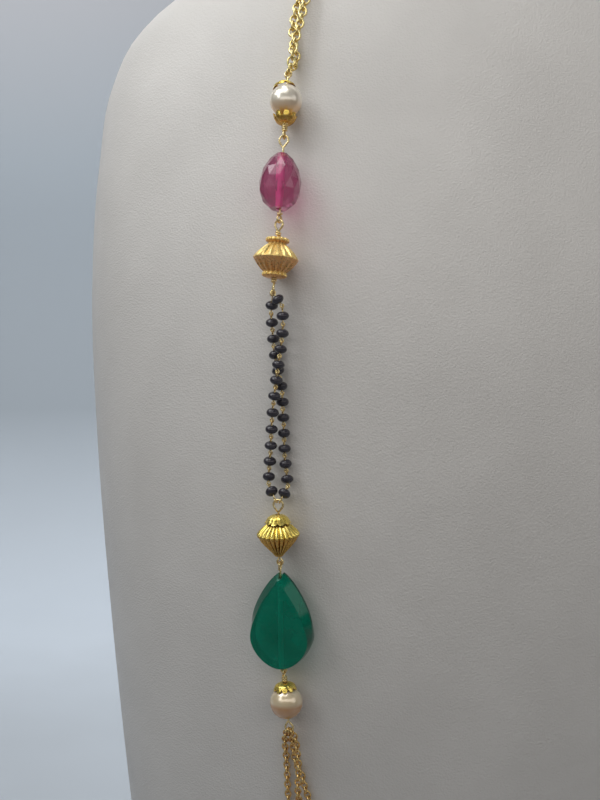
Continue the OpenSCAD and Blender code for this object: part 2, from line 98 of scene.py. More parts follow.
# A neck chain's end links lie beside the middle of their eye and ring by a share of their
# wire, and the first lies a little above. Rings and lower eyes hold their links with play.
NECK_BESIDE = 0.55
NECK_RISE = 0.00013
RING_HOLD = 0.00005
EYE_HOLD = 0.00001

# An eye's tip lies this many radii from its middle, further if it is over LARGE_EYE_R. The
# radius, pitch and entry of the wraps below it are shares of the wire's diameter. A turn has
# WRAP_STEPS points and starts at WRAP_START degrees.
LARGE_EYE_R = 0.0009
LARGE_EYE_TIP = 1.55
SMALL_EYE_TIP = 1.4
WRAP_R = 0.96
WRAP_PITCH = 0.95
WRAP_STEPS = 12
WRAP_START = 135
WRAP_ENTRY = 0.6

# Sizes of the patches, dents and grain of the materials, and the brown of the painted shade in the
# gold's hollows
GOLD_TONE_PATCH = 0.0012
GOLD_POLISH_PATCH = 0.0005
GOLD_DENT = 0.0003
PAINTED_SHADE_BROWN = (0.24, 0.12, 0.06)
GRAIN_CELL = 0.0004
GRAIN_CREASE = 0.00032
GRAIN_DEPTH = 0.00008

# A chain's link: length, width and wire, and the most that two middles may lie apart
NECK_LINK = {"length": 0.0026, "width": 0.00215, "wire": 0.0005, "pitch": 0.00155}
LOWER_LINK = {"length": 0.00192, "width": 0.00166, "wire": 0.0004, "pitch": 0.00112}

# Sections of the bust: height, half width, depth in front, depth behind
BUST = [
    (0, 0.089, 0.046, 0.034), (0.05, 0.094, 0.053, 0.036), (0.1, 0.0995, 0.059, 0.038),
    (0.15, 0.104, 0.0625, 0.039), (0.195, 0.107, 0.063, 0.0395), (0.235, 0.108, 0.0595, 0.04),
    (0.265, 0.106, 0.0535, 0.04), (0.285, 0.1025, 0.0485, 0.0395), (0.297, 0.0965, 0.045, 0.039),
    (0.305, 0.088, 0.0425, 0.0385), (0.312, 0.076, 0.041, 0.038), (0.32, 0.062, 0.0395, 0.038),
    (0.33, 0.05, 0.0385, 0.0375), (0.345, 0.044, 0.0375, 0.037), (0.37, 0.042, 0.037, 0.0365),
    (0.4, 0.0415, 0.0375, 0.037),
]
HALF_W, FRONT, BACK = 1, 2, 3

# Where the hanging pieces are joined: across from the middle, height, distance off the bust
JOINTS = [
    (-0.0563, 0.279, 0.003), (-0.0568, 0.2643, 0.0044), (-0.0575, 0.2463, 0.0051),
    (-0.0588, 0.2317, 0.0049), (-0.0576, 0.1887, 0.005), (-0.0574, 0.1755, 0.0043),
    (-0.0569, 0.1519, 0.0035), (-0.0556, 0.1391, 0.0039),
]
# Each piece's upper joint, how far its middle lies above and across from the middle of its
# line, and how far it leans
PEARL_UPPER = (0, 0.0009, -0.00008, 0)
RUBY = (1, -0.0006, -0.00025, 0)
PETAL = (2, -0.0002, 0, 0)
RIBBED = (4, -0.0006, -0.0002, 0)
DROP = (5, -0.00035, 0, 1.2)
PEARL_LOWER = (6, -0.0004, -0.00008, 0)

# Links of the black strands: across from the middle, height, distance off the bust,
# and how far the bead below the link sits above the middle of its pin
STRAND_A = [
    (-0.0588, 0.2318, 0.0053, -0.00015), (-0.0569, 0.2288, 0.0047, 0), (-0.0569, 0.225, 0.0042, 0),
    (-0.0572, 0.2217, 0.0041, 0), (-0.0576, 0.2185, 0.0043, 0), (-0.058, 0.2153, 0.0044, 0),
    (-0.0584, 0.2121, 0.0043, 0), (-0.0589, 0.2087, 0.004, 0), (-0.0593, 0.2052, 0.0036, 0),
    (-0.0596, 0.2017, 0.0032, 0), (-0.0599, 0.1983, 0.0027, 0), (-0.0603, 0.195, 0.0023, 0),
    (-0.0602, 0.1918, 0.003, 0.00045), (-0.0579, 0.1886, 0.0052, 0),
]
STRAND_B = [
    (-0.059, 0.2319, 0.0044, -0.0005), (-0.0598, 0.2274, 0.0027, 0), (-0.0598, 0.2241, 0.0017, 0),
    (-0.0596, 0.2207, 0.00155, 0), (-0.0591, 0.2174, 0.00155, 0), (-0.0583, 0.2141, 0.00155, 0),
    (-0.0578, 0.2108, 0.00155, 0), (-0.0577, 0.2075, 0.00155, 0), (-0.0575, 0.2042, 0.00155, 0),
    (-0.0574, 0.201, 0.00155, 0), (-0.0573, 0.1977, 0.00155, 0), (-0.0569, 0.1945, 0.0016, 0),
    (-0.0563, 0.1914, 0.0026, 0.00025), (-0.0572, 0.1886, 0.0052, 0),
]

# Routes of the chains: across from the middle, height, distance off the bust
NECK_FRONT = [
    (-0.0559, 0.2797, 0.004), (-0.0554, 0.2814, 0.0038), (-0.0551, 0.2844, 0.0034),
    (-0.0543, 0.2877, 0.0033), (-0.0535, 0.2912, 0.003), (-0.053, 0.2942, 0.0028),
    (-0.0524, 0.2975, 0.0025),
]
NECK_BACK = [
    (-0.0561, 0.2799, 0.0018), (-0.0553, 0.2815, 0.0013), (-0.0551, 0.2837, 0.00115),
    (-0.0557, 0.2871, 0.00115), (-0.0558, 0.2901, 0.00115), (-0.0553, 0.293, 0.00115),
    (-0.0547, 0.2959, 0.00115), (-0.0542, 0.2985, 0.00115),
]
# Further on they go round the neck: bearing from the front, height, distance off the bust
ROUND_FRONT = [
    (35, 0.3055, 0.0017), (41, 0.313, 0.0016), (50, 0.3205, 0.0016), (62, 0.327, 0.0015),
    (76, 0.3305, 0.0015), (92, 0.332, 0.0014), (110, 0.332, 0.0014), (130, 0.331, 0.0014),
    (150, 0.3295, 0.0014), (163, 0.328, 0.0014), (172, 0.327, 0.0017), (174.8, 0.3269, 0.0019),
]
ROUND_BACK = [
    (37.2, 0.306, 0.0014), (44, 0.313, 0.0015), (54, 0.3195, 0.0015), (66, 0.3248, 0.0014),
    (79, 0.328, 0.0014), (93, 0.3293, 0.0014), (110, 0.3293, 0.0014), (130, 0.3283, 0.0014),
    (150, 0.3269, 0.0014), (163, 0.3256, 0.0014), (172, 0.3249, 0.0017), (174.8, 0.3248, 0.0019),
]
LOWER_LONG = [
    (-0.0567, 0.1384, 0.0031), (-0.057, 0.1368, 0.0024), (-0.0573, 0.1343, 0.0014),
    (-0.0572, 0.1315, 0.00095), (-0.057, 0.127, 0.00095), (-0.0568, 0.122, 0.00095),
    (-0.0562, 0.11, 0.00095), (-0.0548, 0.096, 0.00095), (-0.052, 0.082, 0.00095),
    (-0.0475, 0.069, 0.00095), (-0.041, 0.057, 0.00095), (-0.0325, 0.0465, 0.00095),
    (-0.022, 0.038, 0.00095), (-0.011, 0.032, 0.00095), (0, 0.03, 0.00095),
]
LOWER_MIDDLE = [
    (-0.0546, 0.1384, 0.0039), (-0.0544, 0.1368, 0.0034), (-0.0543, 0.1342, 0.0029),
    (-0.0541, 0.1318, 0.0027), (-0.054, 0.1295, 0.0027), (-0.0542, 0.1266, 0.0027),
    (-0.0543, 0.1241, 0.0022), (-0.0541, 0.12, 0.0011), (-0.0535, 0.113, 0.00095),
    (-0.052, 0.103, 0.00095), (-0.049, 0.091, 0.00095), (-0.0445, 0.079, 0.00095),
    (-0.038, 0.068, 0.00095), (-0.03, 0.059, 0.00095), (-0.02, 0.0515, 0.00095),
    (-0.01, 0.047, 0.00095), (0, 0.0455, 0.00095),
]
LOWER_SHORT = [
    (-0.0557, 0.1374, 0.0019), (-0.0558, 0.1348, 0.0011), (-0.0555, 0.132, 0.00095),
    (-0.0549, 0.1298, 0.00095), (-0.0538, 0.1275, 0.00095), (-0.0532, 0.125, 0.00095),
    (-0.0524, 0.1225, 0.00095), (-0.0502, 0.115, 0.00095), (-0.0472, 0.106, 0.00095),
    (-0.043, 0.0965, 0.00095), (-0.0375, 0.087, 0.00095), (-0.0305, 0.078, 0.00095),
    (-0.022, 0.0705, 0.00095), (-0.012, 0.0645, 0.00095), (0, 0.062, 0.00095),
]


# The bust's skin

def rise(i, column):
    """Slope between a section of the bust and the next."""
    return (BUST[i + 1][column] - BUST[i][column]) / (BUST[i + 1][0] - BUST[i][0])


def lean(i, column):
    """Slope of the smooth curve at a section."""
    if i == 0:
        return rise(0, column)
    if i == len(BUST) - 1:
        return rise(i - 1, column)
    low = BUST[i][0] - BUST[i - 1][0]
    high = BUST[i + 1][0] - BUST[i][0]
    return (rise(i - 1, column) * high + rise(i, column) * low) / (low + high)


def measure(height, column):
    """The bust's half width or depth at a height."""
    z = min(max(height, 0), BUST_HEIGHT)
    i = max(k for k in range(len(BUST) - 1) if BUST[k][0] <= z)
    h = BUST[i + 1][0] - BUST[i][0]
    t = (z - BUST[i][0]) / h
    return (
        (2 * t**3 - 3 * t**2 + 1) * BUST[i][column]
        + (3 * t**2 - 2 * t**3) * BUST[i + 1][column]
        + (t**3 - 2 * t**2 + t) * h * lean(i, column)
        + (t**3 - t**2) * h * lean(i + 1, column)
    )


def swell(v):
    """A sine or cosine bent so that the sections are a little fuller than ellipses."""
    return math.copysign(abs(v) ** (2 / OVAL_POWER), v)


def skin(bearing, z):
    """A point of the skin: the bearing is 0 in front, 90 at the viewer's left, 180 behind."""
    a = math.radians(bearing)
    depth = measure(z, FRONT if math.cos(a) > 0 else BACK)
    return Vector((-measure(z, HALF_W) * swell(math.sin(a)), -depth * swell(math.cos(a)), z))


def outward(bearing, z):
    """The direction away from the skin."""
    up = skin(bearing, z + 0.0005) - skin(bearing, z - 0.0005)
    round_it = skin(bearing + 0.5, z) - skin(bearing - 0.5, z)
    return up.cross(round_it).normalized()


def bearing_at(x, z):
    """The bearing of the front point that lies at x."""
    share = min(abs(x) / measure(z, HALF_W), 1) ** (OVAL_POWER / 2)
    return -math.copysign(math.degrees(math.asin(share)), x)


def off_bust(row):
    """The place of a row of bearing, height and distance off the bust."""
    return skin(row[0], row[1]) + row[2] * outward(row[0], row[1])


def by_bearing(row):
    """A row that gives the distance across, with its bearing instead."""
    return (bearing_at(row[0], row[1]), row[1], row[2])


def at(row):
    """The place of a row of distance across, height and distance off the bust."""
    return off_bust(by_bearing(row))


# Shapes are pairs of a list of points and a list of faces

def joined(shapes):
    """Several shapes as one."""
    points, faces = [], []
    for more_points, more_faces in shapes:
        start = len(points)
        points += more_points
        faces += [[start + i for i in face] for face in more_faces]
    return points, faces


def moved(shape, matrix):
    """A shape moved by a matrix."""
    return [matrix @ Vector(p) for p in shape[0]], shape[1]


def mirrored(shape):
    """The mirror image of a shape on the other side of the bust."""
    return [(-p[0], p[1], p[2]) for p in shape[0]], [face[::-1] for face in shape[1]]


def spun(rings, sides, place_at=None):
    """A closed shell round Z through rings of (height, radius), taken down the outside
    and up the inside. place_at(ring, turn) gives each point's radius and height instead."""
    points, faces = [], []
    for i, (height, radius) in enumerate(rings):
        for k in range(sides):
            a = 2 * math.pi * k / sides
            r, z = place_at(i, a) if place_at else (radius, height)
            points.append((r * math.cos(a), r * math.sin(a), z))
    for i in range(len(rings)):
        for k in range(sides):
            a, b = i * sides + k, i * sides + (k + 1) % sides
            c = (i + 1) % len(rings) * sides
            faces.append([a, c + k, c + (k + 1) % sides, b])
    return points, faces


def blend(a, b, c, d, t):
    """A share t of the way from b to c on the curve through all four."""
    return (
        b + t * (c - a) / 2 + t**2 * (a - 2.5 * b + 2 * c - d / 2)
        + t**3 * (1.5 * (b - c) + (d - a) / 2)
    )


def smooth(rows, steps):
    """Points on a smooth curve through the rows."""
    rows = [Vector(row) for row in rows]
    last = len(rows) - 1
    found = [
        blend(rows[max(i - 1, 0)], rows[i], rows[i + 1], rows[min(i + 2, last)], k / steps)
        for i in range(last)
        for k in range(steps)
    ]
    return found + [rows[last]]


def wire(path, diameter, sides=10):
    """A round wire along a path, closed and a little narrower at both ends."""
    points, faces = [], []
    side = None
    for i, p in enumerate(path):
        along = (path[min(i + 1, len(path) - 1)] - path[max(i - 1, 0)]).normalized()
        side = side - side.dot(along) * along if side else along.orthogonal()
        side.normalize()
        other = along.cross(side)
        r = diameter / 2 * (0.7 if i in (0, len(path) - 1) else 1)
        for k in range(sides):
            a = 2 * math.pi * k / sides
            points.append(p + r * (math.cos(a) * side + math.sin(a) * other))
    for i in range(len(path) - 1):
        for k in range(sides):
            a, b = i * sides + k, i * sides + (k + 1) % sides
            faces.append([a, b, b + sides, a + sides])
    faces.append(list(range(sides))[::-1])
    faces.append([(len(path) - 1) * sides + k for k in range(sides)])
    return points, faces


def oval_link(length, width, wire_d, around=16, sides=7):
    """A link in the plane of X and Y, its length along Y."""
    points, faces = [], []
    for i in range(around):
        a = 2 * math.pi * i / around
        across, along = width - wire_d, length - wire_d
        middle = Vector((across / 2 * math.cos(a), along / 2 * math.sin(a), 0))
        out = Vector((along * math.cos(a), across * math.sin(a), 0)).normalized()
        for k in range(sides):
            b = 2 * math.pi * k / sides
            points.append(middle + wire_d / 2 * (math.cos(b) * out + Vector((0, 0, math.sin(b)))))
    for i in range(around):
        for k in range(sides):
            a, b = i * sides, (i + 1) % around * sides
            faces.append([a + k, b + k, b + (k + 1) % sides, a + (k + 1) % sides])
    return points, faces


# Pieces of the scene

def add_piece(name, shape, material, sharp=60):
    """A new mesh, smooth except where its faces meet at more than sharp degrees."""
    mesh = bpy.data.meshes.new(name)
    mesh.from_pydata(shape[0], [], shape[1])
    mesh.shade_smooth()
    mesh.set_sharp_from_angle(angle=math.radians(sharp))
    mesh.materials.append(material)
    piece = bpy.data.objects.new(name, mesh)
    bpy.context.scene.collection.objects.link(piece)
    return piece


def dress(piece, slot, *nodes):
    """Fixes a piece to the root body, in place of its nodes."""
    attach(piece, "root")
    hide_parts(*nodes)


def add_pair(node, shape, material, slot):
    """The left piece and its mirrored twin, each in place of its node."""
    for side, form in (("left", shape), ("right", mirrored(shape))):
        piece = add_piece(f"fine_{node}_{side}", form, material)
        dress(piece, slot, f"{node}_{side}")


def hang(top, foot):
    """A frame between two joints, with +Z towards the upper one and -Y away from the bust."""
    mid = (top + foot) / 2
    up = (top - foot).normalized()
    out = outward(bearing_at(mid.x, mid.z), mid.z)
    back = (out.dot(up) * up - out).normalized()
    side = back.cross(up)
    turn = Matrix((side, back, up)).transposed().to_4x4()
    return Matrix.Translation(mid) @ turn


def joint_frame(i):
    """The frame of the line from a joint to the next one below it."""
    return hang(at(JOINTS[i]), at(JOINTS[i + 1]))


def line_frame(piece):
    """The frame of a bead or stone on the line between two joints."""
    joint, up, across, angle = piece
    turn = Matrix.Rotation(math.radians(angle), 4, "Y")
    return joint_frame(joint) @ Matrix.Translation((across, 0, up)) @ turn


def span(i):
    """The length of the line from a joint to the next one."""
    return (at(JOINTS[i]) - at(JOINTS[i + 1])).length


# Materials

def new_material(name):
    """A new material with its node tree and its shader."""
    material = bpy.data.materials.new(name)
    material.use_nodes = True
    tree = material.node_tree
    return material, tree, tree.nodes["Principled BSDF"]


def add_node(tree, kind, inputs=None, **settings):
    """A new node. inputs are values or the sockets that feed it."""
    node = tree.nodes.new(kind)
    for key, value in settings.items():
        setattr(node, key, value)
    for key, value in (inputs or {}).items():
        if isinstance(value, bpy.types.NodeSocket):
            tree.links.new(value, node.inputs[key])
        else:
            node.inputs[key].default_value = value
    return node


def ramp(tree, factor, stops):
    """A colour that follows a factor through stops of (place, colour)."""
    node = add_node(tree, "ShaderNodeValToRGB", {"Fac": factor})
    while len(node.color_ramp.elements) < len(stops):
        node.color_ramp.elements.new(0.5)
    for element, (place, colour) in zip(node.color_ramp.elements, stops):
        element.position = place
        element.color = (*colour, 1)
    return node.outputs["Color"]


def grey(v):
    """A colour that is the same in red, green and blue."""
    return (v, v, v)


def noise(tree, size, detail=3.0):
    """Noise whose patches are about the given size in metres."""
    place = add_node(tree, "ShaderNodeTexCoord").outputs["Object"]
    return add_node(
        tree, "ShaderNodeTexNoise", {"Vector": place, "Scale": 1 / size, "Detail": detail}
    ).outputs["Fac"]


def bumped(tree, shader, height, strength, distance):
    """Gives a shader relief as deep as the given distance."""
    bump = add_node(
        tree, "ShaderNodeBump", {"Height": height, "Strength": strength, "Distance": distance}
    )
    tree.links.new(bump.outputs["Normal"], shader.inputs["Normal"])


def painted_underside_shade(tree, below, start, end):
    """Painted shade: a darker tint on faces that look down, which fades between two shares of the way
    up.
    """
    facing = add_node(tree, "ShaderNodeTexCoord").outputs["Normal"]
    height = add_node(tree, "ShaderNodeSeparateXYZ", {0: facing}).outputs["Z"]
    share = add_node(
        tree, "ShaderNodeMapRange", {"Value": height, "From Min": -1.0, "From Max": 1.0}
    ).outputs[0]
    return ramp(tree, share, [(start, below), (end, (1, 1, 1))])


def tinted(tree, first, second):
    """Two colours multiplied."""
    mix = add_node(
        tree, "ShaderNodeMixRGB", {"Fac": 1.0, "Color1": first, "Color2": second},
        blend_type="MULTIPLY",
    )
    return mix.outputs["Color"]


def gold(name, bright, deep, below, polish, dent, recess, metal=0.82):
    """Plated metal in patches of two tones. below is the painted shade that tints its undersides,
    polish is its lowest and highest roughness, dent the depth of its dents and recess how far
    the painted shade in its hollows reaches."""
    material, tree, shader = new_material(name)
    shader.inputs["Metallic"].default_value = metal
    tone = ramp(tree, noise(tree, GOLD_TONE_PATCH), [(0.3, bright), (0.7, deep)])
    # Painted shade: the gold turns brown in its hollows, the more closed in they are
    hollow = add_node(tree, "ShaderNodeAmbientOcclusion", {"Distance": recess}, samples=8)
    shade = ramp(tree, hollow.outputs["AO"], [(0.2, PAINTED_SHADE_BROWN), (0.82, (1, 1, 1))])
    # Painted shade on the undersides too
    tone = tinted(tree, tinted(tree, tone, shade), painted_underside_shade(tree, below, 0.36, 0.53))
    tree.links.new(tone, shader.inputs["Base Color"])
    roughness = ramp(
        tree, noise(tree, GOLD_POLISH_PATCH),
        [(0.35, grey(polish[0])), (0.65, grey(polish[1]))],
    )
    tree.links.new(roughness, shader.inputs["Roughness"])
    bumped(tree, shader, noise(tree, GOLD_DENT), 0.5, dent)
    return material


def leatherette():
    """White imitation leather with a fine pebbled grain."""
    material, tree, shader = new_material("leatherette")
    place = add_node(tree, "ShaderNodeTexCoord").outputs["Object"]
    tone = ramp(
        tree, noise(tree, 0.02, 5.0), [(0.3, (0.71, 0.69, 0.675)), (0.7, (0.77, 0.75, 0.735))]
    )
    tree.links.new(tone, shader.inputs["Base Color"])
    gloss = ramp(tree, noise(tree, 0.004), [(0.3, grey(0.46)), (0.7, grey(0.58))])
    tree.links.new(gloss, shader.inputs["Roughness"])
    shader.inputs["Specular IOR Level"].default_value = 0.4
    cells = add_node(
        tree, "ShaderNodeTexVoronoi", {"Vector": place, "Scale": 1 / GRAIN_CELL},
        feature="SMOOTH_F1",
    ).outputs["Distance"]
    creases = noise(tree, GRAIN_CREASE, 4.0)
    both = add_node(tree, "ShaderNodeMath", {0: cells, 1: creases}, operation="ADD").outputs[0]
    bumped(tree, shader, both, 0.8, GRAIN_DEPTH)
    return material


def pearl(name, light, dark, below, start, end):
    """Nacre of two tones under a strong gloss, with painted shade on its underside, a brown tint that
    fades out between two shares of the way up."""
    material, tree, shader = new_material(name)
    tone = ramp(tree, noise(tree, 0.003), [(0.3, dark), (0.7, light)])
    # Painted shade: the underside is tinted brown
    tone = tinted(tree, tone, painted_underside_shade(tree, below, start, end))
    tree.links.new(tone, shader.inputs["Base Color"])
    shader.inputs["Metallic"].default_value = 0.3
    shader.inputs["Roughness"].default_value = 0.32
    shader.inputs["Coat Weight"].default_value = 1.0
    shader.inputs["Coat Roughness"].default_value = 0.16
    shader.inputs["Coat IOR"].default_value = 2.4
    bumped(tree, shader, noise(tree, 0.0012), 0.15, 0.00004)
    return material


def glass(name, light, dark, edge, shadow, roughness, clearness, polish):
    """Cloudy glass of two tones under a polished skin. edge is a painted sheen, the paler tint
    where it is seen at a slant, and shadow the light that falls through it."""
    material, tree, shader = new_material(name)
    tone = ramp(tree, noise(tree, 0.006), [(0.35, light), (0.65, dark)])
    # Painted sheen: paler where the glass is seen at a slant
    slant = add_node(tree, "ShaderNodeLayerWeight", {"Blend": 0.5}).outputs["Facing"]
    tone = tinted(tree, tone, ramp(tree, slant, [(0.2, (1, 1, 1)), (0.65, edge)]))
    tree.links.new(tone, shader.inputs["Base Color"])
    shader.inputs["Roughness"].default_value = roughness
    shader.inputs["IOR"].default_value = 1.45
    shader.inputs["Specular IOR Level"].default_value = polish / 2
    shader.inputs["Transmission Weight"].default_value = clearness
    shader.inputs["Coat Weight"].default_value = polish
    shader.inputs["Coat Roughness"].default_value = 0.03
    path = add_node(tree, "ShaderNodeLightPath")
    clear = add_node(tree, "ShaderNodeBsdfTransparent", {"Color": (*shadow, 1)})
    mix = add_node(
        tree, "ShaderNodeMixShader",
        {0: path.outputs["Is Shadow Ray"], 1: shader.outputs[0], 2: clear.outputs[0]},
    )
    tree.links.new(mix.outputs[0], tree.nodes["Material Output"].inputs["Surface"])
    return material


def frost(name, light, dark):
    """The ground wall of a hole through a stone."""
    material, tree, shader = new_material(name)
    tone = ramp(tree, noise(tree, 0.0008), [(0.35, light), (0.65, dark)])
    tree.links.new(tone, shader.inputs["Base Color"])
    shader.inputs["Roughness"].default_value = 0.7
    return material


def black_glass():
    """Opaque glass, almost black."""
    material, tree, shader = new_material("black_glass")
    tone = ramp(
        tree, noise(tree, 0.0015), [(0.3, (0.027, 0.024, 0.036)), (0.7, (0.04, 0.036, 0.049))]
    )
    tree.links.new(tone, shader.inputs["Base Color"])
    shader.inputs["Roughness"].default_value = 0.22
    shader.inputs["IOR"].default_value = 1.6
    bumped(tree, shader, noise(tree, 0.0008), 0.3, 0.00005)
    return material


def backdrop_painted_light(stops):
    """Matt paint whose tone changes along the floor and up the wall, painted lighter and darker where
    light and shade fall. stops are (place, colour): a place is the height plus a tenth of the way
    back from a line a metre in front."""
    material, tree, shader = new_material("backdrop_painted_light")
    place = add_node(tree, "ShaderNodeTexCoord").outputs["Object"]
    apart = add_node(tree, "ShaderNodeSeparateXYZ", {0: place}).outputs
    back = add_node(
        tree, "ShaderNodeMath", {0: apart["Y"], 1: 0.1, 2: 0.1}, operation="MULTIPLY_ADD"
    ).outputs[0]
    level = add_node(tree, "ShaderNodeMath", {0: apart["Z"], 1: back}, operation="ADD").outputs[0]
    uneven = add_node(
        tree, "ShaderNodeMath", {0: noise(tree, 0.2), 1: 0.04, 2: level}, operation="MULTIPLY_ADD"
    ).outputs[0]
    tree.links.new(ramp(tree, uneven, stops), shader.inputs["Base Color"])
    shader.inputs["Roughness"].default_value = 0.7
    return material


LEATHERETTE = leatherette()
# In each gold, below is the colour of the painted shade on its undersides
CHAIN_GOLD = gold(
    "neck_chain_gold", bright=(1.0, 0.92, 0.5), deep=(1.0, 0.82, 0.34), below=(0.85, 0.7, 0.5),
    polish=(0.16, 0.28), dent=0.00002, recess=0.0002,
)
LOWER_GOLD = gold(
    "lower_chain_gold", bright=(1.0, 0.78, 0.36), deep=(0.92, 0.62, 0.22), below=(0.7, 0.5, 0.4),
    polish=(0.16, 0.3), dent=0.00002, recess=0.0003,
)
WIRE_GOLD = gold(
    "wire_gold", bright=(1.0, 0.88, 0.5), deep=(0.95, 0.74, 0.34), below=(0.85, 0.7, 0.6),
    polish=(0.2, 0.32), dent=0.00001, recess=0.00015,
)
SATIN_GOLD = gold(
    "satin_gold", bright=(1.0, 0.8, 0.34), deep=(1.0, 0.71, 0.23), below=(0.78, 0.56, 0.6),
    polish=(0.25, 0.38), dent=0.000015, recess=0.0004, metal=0.64,
)
BRIGHT_GOLD = gold(
    "bright_gold", bright=(1.0, 0.84, 0.25), deep=(1.0, 0.74, 0.14), below=(0.7, 0.5, 0.5),
    polish=(0.22, 0.31), dent=0.000008, recess=0.0006,
)
# Each pearl has painted shade on its underside. The lower pearl's is deeper and browner, as it gets
# less light
UPPER_NACRE = pearl(
    "upper_nacre", light=(1.0, 0.94, 0.82), dark=(0.98, 0.88, 0.72), below=(0.95, 0.68, 0.42),
    start=0.25, end=0.5,
)
LOWER_NACRE = pearl(
    "lower_nacre", light=(1.0, 0.85, 0.6), dark=(1.0, 0.8, 0.52), below=(0.66, 0.38, 0.17),
    start=0.45, end=0.57,
)
RUBY_GLASS = glass(
    "ruby_glass", light=(0.58, 0.19, 0.33), dark=(0.48, 0.14, 0.27), edge=(0.66, 0.48, 0.58),
    shadow=(0.82, 0.62, 0.7), roughness=0.1, clearness=0.7, polish=0.6,
)
RUBY_FROST = frost("ruby_frost", (1.0, 0.27, 0.62), (0.95, 0.22, 0.53))
GREEN_GLASS = glass(
    "green_glass", light=(0.0, 0.39, 0.25), dark=(0.0, 0.3, 0.19), edge=(0.16, 0.44, 0.46),
    shadow=(0.16, 0.24, 0.22), roughness=0.12, clearness=0.6, polish=0.12,
)
GREEN_FROST = frost("green_frost", (0.22, 0.6, 0.5), (0.17, 0.52, 0.43))
BLACK_GLASS = black_glass()


# The bust: its own skin with finer rings, rolled in at the top and the base

def bust_shape():
    """Rings of the skin from the base to the top, with both edges rolled in."""
    sides = 176
    curls = [math.radians(a) for a in (0, 15, 30, 45, 60, 75)]
    roll = [(EDGE_ROLL * (1 - math.sin(a)), EDGE_ROLL * (1 - math.cos(a))) for a in curls[::-1]]
    roll = [(0, EDGE_ROLL * EDGE_ROLL_END)] + roll
    steps = 120
    plain_part = [
        (EDGE_ROLL + (BUST_HEIGHT - 2 * EDGE_ROLL) * k / steps, 0) for k in range(1, steps)
    ]
    levels = roll + plain_part + [(BUST_HEIGHT - z, inset) for z, inset in roll[::-1]]
    points, faces = [], []
    for z, inset in levels:
        for k in range(sides):
            p = skin(-360 * k / sides, z)
            points.append((
                p.x * (1 - inset / measure(z, HALF_W)),
                p.y * (1 - inset / measure(z, FRONT)),
                z,
            ))
    for i in range(len(levels) - 1):
        for k in range(sides):
            a, b = i * sides + k, i * sides + (k + 1) % sides
            faces.append([a, b, b + sides, a + sides])
    faces.append(list(range(sides))[::-1])
    faces.append([(len(levels) - 1) * sides + k for k in range(sides)])
    return points, faces


bust = add_piece("fine_bust", bust_shape(), LEATHERETTE, sharp=80)
dress(bust, "leatherette", "bust")


# Chains

def chain_path(anchor, rows, end_anchor):
    """Places and outward directions along a route, from one anchor to the other."""
    route = smooth(rows, ROUTE_STEPS)[ROUTE_STEPS:-ROUTE_STEPS]
    path = [(off_bust(row), outward(row[0], row[1])) for row in route]
    return [(anchor, path[0][1])] + path + [(end_anchor, path[-1][1])]


def chain(path, link, same_ends):
    """Interlocked links along a path, each turned a quarter from the one before. The first
    stands on edge, and so does the last if same_ends."""
    lengths = [0]
    for (a, _), (b, _) in zip(path, path[1:]):
        lengths.append(lengths[-1] + (b - a).length)

    def spot(s):
        i = max(k for k in range(len(lengths) - 1) if lengths[k] <= s or k == 0)
        t = (s - lengths[i]) / (lengths[i + 1] - lengths[i])
        return path[i][0].lerp(path[i + 1][0], t), path[i][1].lerp(path[i + 1][1], t)

    start = (link["length"] - link["wire"]) / 2
    stretch = lengths[-1] - 2 * start
    gaps = math.ceil(stretch / link["pitch"])
    gaps += (gaps % 2 == 0) != same_ends
    pitch = stretch / gaps
    one = oval_link(link["length"], link["width"], link["wire"])
    links = []
    for i in range(gaps + 1):
        s = start + i * pitch
        middle, out = spot(s)
        ahead, behind = min(s + pitch / 2, lengths[-1]), max(s - pitch / 2, 0)
        along = (spot(ahead)[0] - spot(behind)[0]).normalized()
        out = (out - out.dot(along) * along).normalized()
        side = along.cross(out)
        frame_at = Matrix.Translation(middle) @ Matrix((side, along, out)).transposed().to_4x4()
        roll = (90 if i % 2 == 0 else 0) + chance.uniform(-LINK_WOBBLE, LINK_WOBBLE)
        links.append(moved(one, frame_at @ Matrix.Rotation(math.radians(roll), 4, "Y")))
    return joined(links)


def eye_middle(radius, diameter):
    """From a joint to the middle of an eye whose wire is held there."""
    return radius - diameter / 2 - LINK_PLAY / 2


# The eyes and the end rings that hold the ends of the chains
top_eye = joint_frame(0) @ Matrix.Translation((0, 0, span(0) / 2 - eye_middle(TOP_EYE_R, WIRE_D)))
foot_eye = joint_frame(6) @ Matrix.Translation((0, 0, eye_middle(FOOT_EYE_R, WIRE_D) - span(6) / 2))
clasp_y = measure(CLASP_Z, BACK) + RING_R + RING_D / 2 + CLASP_PLAY
ring_x = 2 * HOOK_R + RING_R - HOOK_D / 2 - RING_D / 2 - LINK_PLAY
ring_edge = RING_R - (RING_D + NECK_LINK["wire"]) / 2 - RING_HOLD

for name, rows, round_rows, side in (
    ("front", NECK_FRONT, ROUND_FRONT, 1), ("back", NECK_BACK, ROUND_BACK, -1),
):
    beside = side * NECK_BESIDE * NECK_LINK["wire"]
    start = top_eye @ Vector((beside, 0, NECK_RISE))
    end = Vector((-ring_x - ring_edge, clasp_y + beside, CLASP_Z))
    path = chain_path(start, [by_bearing(row) for row in rows] + round_rows, end)
    shape = chain(path, NECK_LINK, same_ends=False)
    add_pair(f"neck_chain_{name}", shape, CHAIN_GOLD, "gold_chain")

